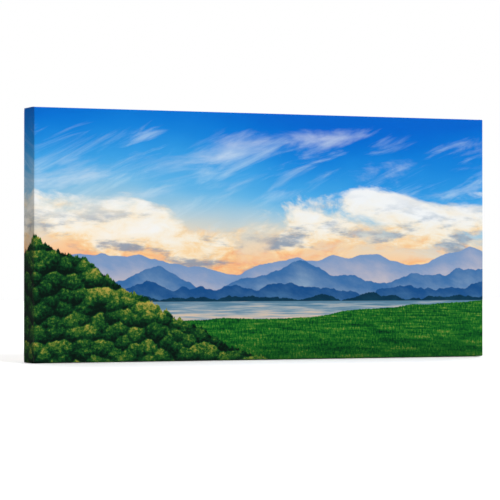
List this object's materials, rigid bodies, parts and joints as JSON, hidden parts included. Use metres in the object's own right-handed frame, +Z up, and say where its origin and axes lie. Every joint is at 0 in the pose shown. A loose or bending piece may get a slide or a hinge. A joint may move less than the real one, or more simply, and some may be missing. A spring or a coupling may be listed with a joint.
{
  "type": "stretched canvas print",
  "caption": "Panoramic gallery-wrapped canvas picture on a mitred wooden stretcher frame, with corner keys, stapled cloth fold, sawtooth hanger and wall pads, for hanging on a wall.",
  "frame": {"origin": "middle of the sawtooth hanger's rear face, which bears on the wall", "axes": "+X to the right seen from the front, along the width; +Y towards the wall; +Z up; the picture faces -Y"},
  "size_m": [0.61, 0.041, 0.305],
  "materials": {
    "printed_cloth": "matt printed cotton canvas",
    "pine": "planed bare pine",
    "key_wood": "sawn bare beech",
    "staple_wire": "galvanised wire",
    "plated_steel": "zinc plated",
    "pad_rubber": "matt dark grey rubber"
  },
  "bodies": {
    "root": {"bar_bottom": "pine", "bar_left": "pine", "bar_right": "pine", "bar_top": "pine", "canvas": "printed_cloth", "hanger": "plated_steel", "hanger_nail_1": "plated_steel", "hanger_nail_2": "plated_steel", "key_bottom_a": "key_wood", "key_bottom_b": "key_wood", "key_left_a": "key_wood", "key_left_b": "key_wood", "key_right_a": "key_wood", "key_right_b": "key_wood", "key_top_a": "key_wood", "key_top_b": "key_wood", "pad_left": "pad_rubber", "pad_right": "pad_rubber", "staple_bottom_1": "staple_wire", "staple_bottom_2": "staple_wire", "staple_bottom_3": "staple_wire", "staple_bottom_4": "staple_wire", "staple_bottom_5": "staple_wire", "staple_bottom_6": "staple_wire", "staple_bottom_7": "staple_wire", "staple_bottom_8": "staple_wire", "staple_bottom_9": "staple_wire", "staple_left_1": "staple_wire", "staple_left_2": "staple_wire", "staple_left_3": "staple_wire", "staple_left_4": "staple_wire", "staple_lower_left": "staple_wire", "staple_lower_right": "staple_wire", "staple_right_1": "staple_wire", "staple_right_2": "staple_wire", "staple_right_3": "staple_wire", "staple_right_4": "staple_wire", "staple_top_1": "staple_wire", "staple_top_2": "staple_wire", "staple_top_3": "staple_wire", "staple_top_4": "staple_wire", "staple_top_5": "staple_wire", "staple_top_6": "staple_wire", "staple_top_7": "staple_wire", "staple_top_8": "staple_wire", "staple_top_9": "staple_wire", "staple_upper_left": "staple_wire", "staple_upper_right": "staple_wire"}
  },
  "joints": []
}
